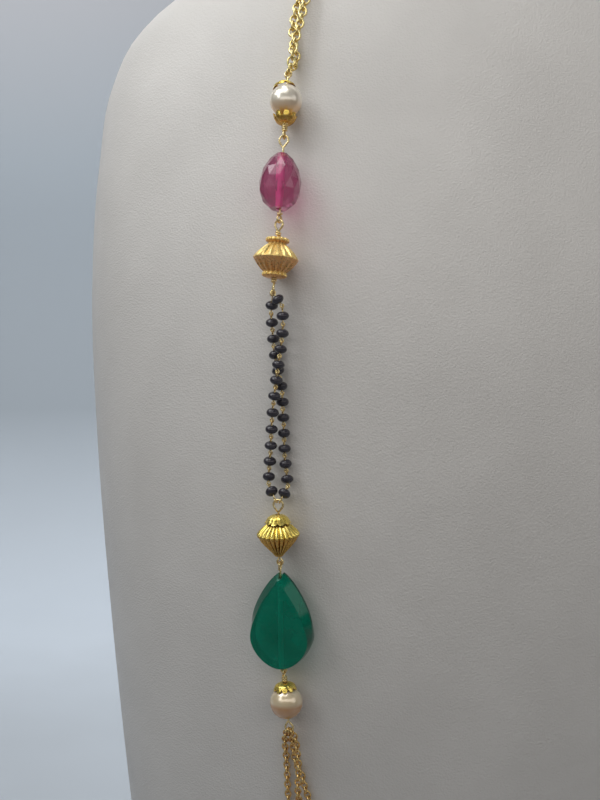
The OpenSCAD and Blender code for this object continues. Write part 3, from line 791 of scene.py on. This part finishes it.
hold_r = FOOT_EYE_R - (WIRE_D + LOWER_LINK["wire"]) / 2 - EYE_HOLD
for name, rows, turn in (
    ("long", LOWER_LONG, -46), ("middle", LOWER_MIDDLE, 46), ("short", LOWER_SHORT, 0),
):
    a = math.radians(turn)
    start = foot_eye @ Vector((hold_r * math.sin(a), 0, -hold_r * math.cos(a)))
    half = [by_bearing(row) for row in rows]
    whole = half + [(-b, z, lift) for b, z, lift in half[-2::-1]]
    path = chain_path(start, whole, Vector((-start.x, start.y, start.z)))
    shape = chain(path, LOWER_LINK, same_ends=True)
    piece = add_piece(f"fine_lower_chain_{name}", shape, LOWER_GOLD)
    dress(piece, "gold_chain", f"lower_chain_{name}")


# Eye pins

def eye_end(height, radius, diameter, turn, wraps):
    """The way of the wire up the shank, round a pear-shaped eye and down again in wraps. The
    tip of the eye lies further from its middle in a large one."""
    a = math.radians(turn)
    across = Vector((math.cos(a), math.sin(a), 0))
    beside = Vector((-math.sin(a), math.cos(a), 0))
    tip = (LARGE_EYE_TIP if radius > LARGE_EYE_R else SMALL_EYE_TIP) * radius
    opening = math.degrees(math.acos(radius / tip))
    path = [Vector((0, 0, height - tip - diameter)), Vector((0, 0, height - tip))]
    for k in range(21):
        b = math.radians(opening - 90 + (360 - 2 * opening) * k / 20)
        path.append(radius * (math.cos(b) * across + math.sin(b) * Vector((0, 0, 1))))
        path[-1].z += height
    entry = WRAP_ENTRY * diameter
    path.append(Vector((0, 0, height - tip)) - entry * across + entry * beside)
    for k in range(1, int(WRAP_STEPS * wraps) + 1):
        b = math.radians(WRAP_START + 360 * k / WRAP_STEPS)
        coil = WRAP_R * diameter * (math.cos(b) * across + math.sin(b) * beside)
        fall = WRAP_PITCH * diameter * k / WRAP_STEPS
        path.append(coil + Vector((0, 0, height - tip - fall)))
    return path


def eye_pin(length, diameter, top, foot):
    """A wire with an eye at each end. top and foot are (radius, turn, wraps)."""
    top_z = length / 2 - eye_middle(top[0], diameter)
    foot_z = length / 2 - eye_middle(foot[0], diameter)
    upper = eye_end(top_z, top[0], diameter, top[1], top[2])
    lower = eye_end(foot_z, foot[0], diameter, foot[1], foot[2])
    lower = [Vector((p.x, p.y, -p.z)) for p in lower]
    return wire(lower[::-1] + upper, diameter)


for name, joint, top, foot in (
    ("pearl_upper_pin", 0, (TOP_EYE_R, 0, 0), (0.00072, 90, 4)),
    ("ruby_pin", 1, (0.001, 0, 0), (0.00072, 70, 1)),
    ("petal_bead_pin", 2, (0.001, -20, 2), (0.00095, -65, 2)),
    ("ribbed_bead_pin", 4, (0.00105, 0, 0), (0.0006, 0, 0)),
    ("green_drop_pin", 5, (0.0007, 90, 0), (0.0006, 0, 0)),
    ("pearl_lower_pin", 6, (0.0006, 90, 2.5), (FOOT_EYE_R, 0, 0)),
):
    shape = moved(eye_pin(span(joint), WIRE_D, top, foot), joint_frame(joint))
    add_pair(name, shape, WIRE_GOLD, "gold_wire")


# Caps and gold beads

# Half sections of a cap, from its edge up the outside and back down the inside: radius and
# height over the middle of its pearl or bead. The upper pearl has a deeper cup below it, and
# the ribbed bead has the dome.
CAP_OUTSIDE = [
    (0.00245, 0.0028), (0.00232, 0.0032), (0.00205, 0.0037), (0.0016, 0.0041), (0.0011, 0.0043),
]
CAP_INSIDE = [
    (0.001, 0.00402), (0.00145, 0.00384), (0.00185, 0.0035), (0.0021, 0.0031), (0.00225, 0.00286),
]
CAP_TOP = 0.00435
CUP_OUTSIDE = [
    (0.00245, 0.0034), (0.00235, 0.004), (0.00205, 0.00465), (0.0016, 0.00515), (0.00115, 0.0054),
]
CUP_INSIDE = [
    (0.00105, 0.00512), (0.00145, 0.00492), (0.00185, 0.0045), (0.00212, 0.00392),
    (0.0022, 0.00345),
]
CUP_TOP = 0.00545
DOME_OUTSIDE = [
    (0.00262, 0.00265), (0.0025, 0.003), (0.00222, 0.0034), (0.00195, 0.0038), (0.00135, 0.00425),
]
DOME_INSIDE = [(0.0012, 0.0039), (0.00175, 0.0035), (0.0021, 0.00295), (0.0025, 0.0026)]
DOME_TOP = 0.0044
SHEET_T = 0.00028
PETAL_SWELL = 0.00013
SECTION_STEPS = 6
POINTS_PER_PETAL = 14
POINTS_PER_RIB = 12
UPPER_CAP_PETALS = 8
LOWER_CAP_PETALS = 10
DOME_PETALS = 10


def point_on(curve, share):
    """The point at a share of a row of points, from 0 to 1."""
    place = share * (len(curve) - 1)
    i = min(int(place), len(curve) - 2)
    return curve[i].lerp(curve[i + 1], place - i)


def sheet_cap(outside, inside, top, hole_r, petals, cut, flare):
    """A thin bowl from its half sections. Its edge is cut back between the petals by a share
    of its side, and curls out at their tips."""
    clear = hole_r + 0.00005
    rows_out = [(hole_r, top)] + [p for p in reversed(outside) if p[0] > clear]
    rows_in = [(hole_r, top - SHEET_T)] + [p for p in inside if p[0] > clear]
    outer = smooth([(r, z, 0) for r, z in rows_out], SECTION_STEPS)
    inner = smooth([(r, z, 0) for r, z in rows_in], SECTION_STEPS)
    steps = 14

    def place(i, a):
        dip = (0.5 - 0.5 * math.cos(petals * a)) ** 2
        under = i > steps
        t = (2 * steps + 1 - i if under else i) / steps
        p = point_on(inner if under else outer, t * (1 - cut * dip))
        swell_out = 0 if under else PETAL_SWELL * (1 - dip) * math.sin(math.pi * min(t, 1)) ** 2
        return p.x + swell_out + flare * (1 - dip) * t**8, p.y

    return spun([(0, 0)] * (2 * steps + 2), petals * POINTS_PER_PETAL, place)


tilt = Matrix.Rotation(math.radians(-12), 4, "Y")
flip = Matrix.Diagonal((1, 1, -1, 1))
top_cap = sheet_cap(
    CAP_OUTSIDE, CAP_INSIDE, CAP_TOP, hole_r=0.0013, petals=UPPER_CAP_PETALS, cut=0.35, flare=0.0001
)
add_pair(
    "pearl_upper_top_cap", moved(top_cap, line_frame(PEARL_UPPER) @ tilt), BRIGHT_GOLD, "gold_bead"
)
cup = sheet_cap(
    CUP_OUTSIDE, CUP_INSIDE, CUP_TOP, hole_r=0.00075, petals=UPPER_CAP_PETALS, cut=0.35, flare=0.00015
)
half_lobe = Matrix.Rotation(math.pi / UPPER_CAP_PETALS, 4, "Z")
cup = moved((cup[0], [face[::-1] for face in cup[1]]), line_frame(PEARL_UPPER) @ flip @ half_lobe)
add_pair("pearl_upper_bottom_cap", cup, BRIGHT_GOLD, "gold_bead")
lower_cap = sheet_cap(
    CAP_OUTSIDE, CAP_INSIDE, CAP_TOP, hole_r=0.0004, petals=LOWER_CAP_PETALS, cut=0.3, flare=0.00012
)
add_pair("pearl_lower_cap", moved(lower_cap, line_frame(PEARL_LOWER)), BRIGHT_GOLD, "gold_bead")
dome = sheet_cap(
    DOME_OUTSIDE, DOME_INSIDE, DOME_TOP, hole_r=0.0005, petals=DOME_PETALS, cut=0.16, flare=0.0002
)
half_petal = Matrix.Rotation(math.pi / DOME_PETALS, 4, "Z")
add_pair("ribbed_bead_cap", moved(dome, line_frame(RIBBED) @ half_petal), BRIGHT_GOLD, "gold_bead")


def fluted(profile, half_width, count, form, hole_r):
    """A bead through rows of (height, share of the half width, depth of its grooves). form
    turns a place, from 0 on a rib to 1 in a groove, into a share of that depth."""
    rows = smooth(profile, 5)
    top, foot = rows[0].x, rows[-1].x
    hole = [(foot + (top - foot) * k / 4, hole_r) for k in range(5)]

    def place(i, a):
        if i >= len(rows):
            return hole[i - len(rows)][1], hole[i - len(rows)][0]
        groove = form(abs(math.sin(count * a / 2)))
        return rows[i].y * half_width - rows[i].z * groove, rows[i].x

    return spun([(0, 0)] * (len(rows) + len(hole)), count * POINTS_PER_RIB, place)


def eased(t):
    """0 up to t = 0, 1 from t = 1, and smooth between."""
    t = min(max(t, 0), 1)
    return t * t * (3 - 2 * t)


def slot(off_rib):
    """Broad petals with steep, narrow slots between them."""
    return eased((off_rib - 0.55) / 0.35)


def round_rib(off_rib):
    """Round ribs with sharp grooves between them."""
    return 1 - math.sqrt(max(1 - off_rib**2, 0))


PETAL_PROFILE = [
    (0.0042, 0.34, 0), (0.004, 0.5, 0.00035), (0.0034, 0.52, 0.0004), (0.0029, 0.4, 0.00025),
    (0.0022, 0.57, 0.00045), (0.0011, 0.81, 0.0006), (0, 0.985, 0.0003), (-0.0002, 1, 0.00008),
    (-0.0004, 1, 0.00008), (-0.0006, 0.97, 0.0001), (-0.0015, 0.84, 0.0006),
    (-0.0024, 0.68, 0.0006), (-0.0031, 0.52, 0.0004), (-0.0035, 0.555, 0.0004),
    (-0.004, 0.535, 0.00035), (-0.0043, 0.36, 0),
]
RIBBED_PROFILE = [
    (0.0029, 0.36, 0.0001), (0.0022, 0.6, 0.0003), (0.0012, 0.85, 0.00045), (0.0004, 0.99, 0.0005),
    (0.0001, 1, 0.0005), (-0.0002, 0.975, 0.00045), (-0.0004, 0.92, 0.0004),
    (-0.0012, 0.83, 0.00055), (-0.0026, 0.56, 0.0005), (-0.0038, 0.31, 0.00025),
    (-0.0045, 0.19, 0),
]
hole = WIRE_D / 2 + GOLD_PLAY
petal_bead = moved(fluted(PETAL_PROFILE, PETAL_R, PETALS, slot, hole), line_frame(PETAL))
add_pair("petal_bead", petal_bead, SATIN_GOLD, "gold_bead")
ribbed_bead = moved(fluted(RIBBED_PROFILE, RIBBED_R, RIBS, round_rib, hole), line_frame(RIBBED))
add_pair("ribbed_bead", ribbed_bead, BRIGHT_GOLD, "gold_bead")


# Stones. In each, the frosted wall of its hole shows as a paler stripe.

RUBY_RINGS = [0.97, 0.74, 0.39, 0, -0.39, -0.74, -0.97]


def ruby_shape():
    """An oval of triangular facets between rings of corners, flat at both ends."""
    points, faces = [], []
    for i, share in enumerate(RUBY_RINGS):
        r = RUBY_W / 2 * math.sqrt(1 - share**2 * RUBY_FULLNESS) * (1 - RUBY_EGG * share)
        for k in range(RUBY_SIDES):
            a = 2 * math.pi * (k + i % 2 / 2) / RUBY_SIDES
            points.append((r * math.cos(a), r * math.sin(a), share * RUBY_L / 2))
    for i in range(len(RUBY_RINGS) - 1):
        for k in range(RUBY_SIDES):
            a, b = i * RUBY_SIDES + k, i * RUBY_SIDES + (k + 1) % RUBY_SIDES
            c, d = a + RUBY_SIDES, b + RUBY_SIDES
            faces += [[a, d, b], [a, c, d]] if i % 2 else [[a, c, b], [b, c, d]]
    faces.append(list(range(RUBY_SIDES)))
    faces.append([len(points) - 1 - k for k in range(RUBY_SIDES)])
    return points, faces


def drop_point(a, bevel):
    """A point of the drop's outline or of the edge of its faces, a pear shape from its tip. The
    bevel is broad on the upper half and narrows below it."""
    x = math.sin(a) * abs(math.sin(a / 2)) ** DROP_TAPER / DROP_NORM
    z = math.cos(a) * (1 - DROP_STRAIGHTNESS * math.sin(a) ** 2) - DROP_SAG * math.sin(a) ** 2
    x *= 1 - DROP_FLATTENING * x**6
    inset = bevel * (DROP_LOW_BEVEL + (1 - DROP_LOW_BEVEL) * eased((z + 0.5) / 0.7))
    width = DROP_W / 2 * abs(x) - inset * (1 - (1 - abs(x)) ** 4)
    return math.copysign(width, x), (DROP_L / 2 - inset) * z


def slab(outlines):
    """A solid through outlines of (depth, list of (x, z)), each clockwise as seen in front."""
    sides = len(outlines[0][1])
    points = [(x, y, z) for y, outline in outlines for x, z in outline]
    faces = [list(range(sides))[::-1], list(range(len(points) - sides, len(points)))]
    for i in range(len(outlines) - 1):
        for k in range(sides):
            a, b = i * sides + k, i * sides + (k + 1) % sides
            faces.append([a, b, b + sides, a + sides])
    return points, faces


def drop_shape():
    """The drop without its notch and hole: two flat faces, bevelled to a narrow girdle."""
    sides = 112
    turns = [2 * math.pi * k / sides for k in range(sides)]
    face, girdle = DROP_T / 2, DROP_GIRDLE / 2
    layers = [(-face, DROP_BEVEL), (-girdle, 0), (girdle, 0), (face, DROP_BEVEL)]
    return slab([(y, [drop_point(a, bevel) for a in turns]) for y, bevel in layers])


def notch_shape():
    """What is cut from the drop's tip: a slot with a round end."""
    r = DROP_NOTCH_W / 2
    bottom = DROP_L / 2 - DROP_NOTCH_DEPTH + r
    outline = [(-r, DROP_L / 2 + r), (r, DROP_L / 2 + r)]
    turns = [math.pi * k / 12 for k in range(13)]
    outline += [(r * math.cos(a), bottom - r * math.sin(a)) for a in turns]
    return slab([(-DROP_T, outline), (DROP_T, outline)])


def hole_shape():
    """A bar along Z, for the hole through a stone."""
    turns = [math.radians(-15 * k) for k in range(24)]
    outline = [(STONE_HOLE_R * math.cos(a), STONE_HOLE_R * math.sin(a)) for a in turns]
    bar = slab([(-DROP_L, outline), (DROP_L, outline)])
    return moved(bar, Matrix.Rotation(math.pi / 2, 4, "X"))


def take_out(piece, shape, material, sharp):
    """Cuts a shape out of a piece and gives the cut faces their own material."""
    tool = add_piece("tool", shape, material)
    cutting = piece.modifiers.new("cut", "BOOLEAN")
    cutting.object = tool
    cutting.operation = "DIFFERENCE"
    cutting.solver = "EXACT"
    cutting.material_mode = "TRANSFER"
    found = piece.evaluated_get(bpy.context.evaluated_depsgraph_get())
    mesh = bpy.data.meshes.new_from_object(found)
    mesh.set_sharp_from_angle(angle=math.radians(sharp))
    piece.modifiers.clear()
    piece.data = mesh
    bpy.data.objects.remove(tool)


other_side = Matrix.Diagonal((-1, 1, 1, 1))
ruby_tools = [hole_shape()]
drop_tools = [notch_shape(), hole_shape()]
for node, shape, line, tools, stone, wall, sharp, kind in (
    ("ruby", ruby_shape(), RUBY, ruby_tools, RUBY_GLASS, RUBY_FROST, 3, "ruby_glass"),
    ("green_drop", drop_shape(), DROP, drop_tools, GREEN_GLASS, GREEN_FROST, 20, "green_glass"),
):
    place = line_frame(line)
    for side, matrix in (("left", place), ("right", other_side @ place @ other_side)):
        piece = add_piece(f"fine_{node}_{side}", shape, stone, sharp)
        for tool_shape in tools:
            take_out(piece, tool_shape, wall, sharp)
        piece.data.transform(matrix)
        dress(piece, kind, f"{node}_{side}")


# Black beads

def black_bead():
    """A drilled oval bead, a little uneven. Its sides are arcs of BLACK_CURVE degrees each way."""
    wide = BLACK_D / 2 * chance.uniform(1.01, 1.06)
    tall = BLACK_L / 2 * chance.uniform(0.93, 0.99)
    hole_r = THIN_D / 2 + BEAD_PLAY
    arc = [math.radians(BLACK_CURVE - 2 * BLACK_CURVE * k / 10) for k in range(11)]
    rings = [(tall, hole_r + 0.0001)]
    rings += [(tall * math.sin(a) / math.sin(arc[0]), wide * math.cos(a)) for a in arc]
    rings += [(-tall, hole_r + 0.0001), (-0.7 * tall, hole_r), (0.7 * tall, hole_r)]
    return spun(rings, 26)


for name, strand in (("a", STRAND_A), ("b", STRAND_B)):
    beads, pins = [], []
    for i, (upper, lower) in enumerate(zip(strand, strand[1:])):
        place = hang(at(upper), at(lower))
        beads.append(moved(black_bead(), place @ Matrix.Translation((0, 0, upper[3]))))
        top = (END_EYE_R, STRAND_FIRST_TURN, 0) if i == 0 else (THIN_EYE_R, 90, 0)
        foot = (END_EYE_R, 90, 0) if i == len(strand) - 2 else (THIN_EYE_R, 0, 0)
        length = (at(upper) - at(lower)).length
        pins.append(moved(eye_pin(length, THIN_D, top, foot), place))
    add_pair(f"black_beads_{name}", joined(beads), BLACK_GLASS, "black_glass")
    add_pair(f"black_pins_{name}", joined(pins), WIRE_GOLD, "gold_wire")


# Solids whose form is right keep it and get a finish

FINISHES = {
    "pearl_upper_left": UPPER_NACRE,
    "pearl_upper_right": UPPER_NACRE,
    "pearl_lower_left": LOWER_NACRE,
    "pearl_lower_right": LOWER_NACRE,
    "end_ring_left": CHAIN_GOLD,
    "end_ring_right": CHAIN_GOLD,
    "hook": CHAIN_GOLD,
}
for name, material in FINISHES.items():
    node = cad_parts[name]
    node.data.materials.clear()
    node.data.materials.append(material)


# Floor and backdrop in one sweep, light and camera

def sweep_shape():
    """A floor that curves up into a wall behind the bust."""
    reach, wall_y, wall_top, bend = 2.2, 0.9, 2.4, 0.35
    line = [(-reach, 0.0)]
    for k in range(13):
        a = math.radians(90 * k / 12)
        line.append((wall_y - bend + bend * math.sin(a), bend - bend * math.cos(a)))
    line.append((wall_y, wall_top))
    points = [(x, y, z) for y, z in line for x in (-reach, reach)]
    faces = [[2 * i, 2 * i + 1, 2 * i + 3, 2 * i + 2] for i in range(len(line) - 1)]
    return points, faces


# Painted shadow on the floor under the bust, and painted light on the floor behind it, where it
# curves up into the wall
BACKDROP = backdrop_painted_light([
    (0.06, (0.6, 0.59, 0.57)), (0.1, (0.42, 0.45, 0.48)), (0.17, (0.76, 0.84, 0.93)),
    (0.34, (0.4, 0.45, 0.5)), (0.61, (0.42, 0.47, 0.52)), (0.81, (0.44, 0.45, 0.48)),
])
stage_floor = add_piece("floor", sweep_shape(), BACKDROP)


def add_area(name, place, target, width, height, power, colour=(1, 1, 1)):
    """A rectangular light at a place, turned towards a target."""
    light = bpy.data.lights.new(name, "AREA")
    light.shape = "RECTANGLE"
    light.size = width
    light.size_y = height
    light.energy = power
    light.color = colour
    lamp = bpy.data.objects.new(name, light)
    lamp.location = place
    lamp.rotation_euler = (Vector(target) - Vector(place)).to_track_quat("-Z", "Y").to_euler()
    lamp.visible_camera = False
    bpy.context.scene.collection.objects.link(lamp)


BEADS = (-0.06, -0.06, 0.24)
SHOULDER = (-0.09, -0.03, 0.28)
add_area("key_light", (-0.42, -0.32, 0.44), BEADS, 0.16, 0.2, 0.21, (1.0, 1.0, 0.97))
add_area("shoulder_light", (-0.3, -0.1, 0.5), SHOULDER, 0.2, 0.16, 0.4, (0.98, 1.0, 0.99))
add_area("near_light", (-0.14, -0.16, 0.52), SHOULDER, 0.26, 0.16, 0.22, (1.0, 1.0, 0.98))
add_area("front_strip", (-0.055, -0.32, 0.31), BEADS, 0.5, 0.09, 0.17, (1.0, 0.95, 0.88))
add_area("top_light", (-0.09, -0.07, 0.64), BEADS, 0.3, 0.09, 0.33, (1.0, 0.99, 0.95))
add_area("right_light", (0.45, -0.35, 0.4), BEADS, 0.3, 0.3, 0.25, (1.0, 0.96, 0.92))
add_area("back_light", (0.35, 0.6, 0.7), (0, 0.03, 0.25), 0.3, 0.3, 2.5)
add_area("wall_light", (-0.45, 0.3, 0.9), (-0.45, 0.9, 0.7), 0.8, 0.5, 5.5)

# A dim light from all round, warm from below and pale from above
world = bpy.data.worlds.new("studio")
bpy.context.scene.world = world
world.use_nodes = True
sky = world.node_tree
direction = add_node(sky, "ShaderNodeTexCoord").outputs["Generated"]
up_share = add_node(
    sky, "ShaderNodeMapRange",
    {"Value": add_node(sky, "ShaderNodeSeparateXYZ", {0: direction}).outputs["Z"],
     "From Min": -1.0, "From Max": 1.0},
).outputs[0]
shades = ramp(sky, up_share, [
    (0.4, (0.2, 0.17, 0.14)), (0.5, (0.42, 0.4, 0.37)), (0.6, (0.42, 0.43, 0.44)),
    (0.9, (0.6, 0.62, 0.65)),
])
sky.links.new(shades, sky.nodes["Background"].inputs["Color"])
sky.nodes["Background"].inputs["Strength"].default_value = 0.15

# The photo's camera. Its focal length is given in pixels of the photo.
PHOTO_HEIGHT_PX = 800
FOCAL_PX = 1056
SENSOR = 36.0
CAMERA_PLACE = (-0.0545, -0.2794, 0.226)
CAMERA_DIP = 4.2
lens = bpy.data.cameras.new("camera")
lens.sensor_fit = "VERTICAL"
lens.sensor_width = SENSOR
lens.sensor_height = SENSOR
lens.lens = SENSOR * FOCAL_PX / PHOTO_HEIGHT_PX
lens.clip_start = 0.01
camera = bpy.data.objects.new("camera", lens)
camera.location = CAMERA_PLACE
camera.rotation_euler = (math.radians(90 - CAMERA_DIP), 0, 0)
bpy.context.scene.collection.objects.link(camera)
bpy.context.scene.camera = camera
bpy.context.scene.view_settings.view_transform = "Standard"
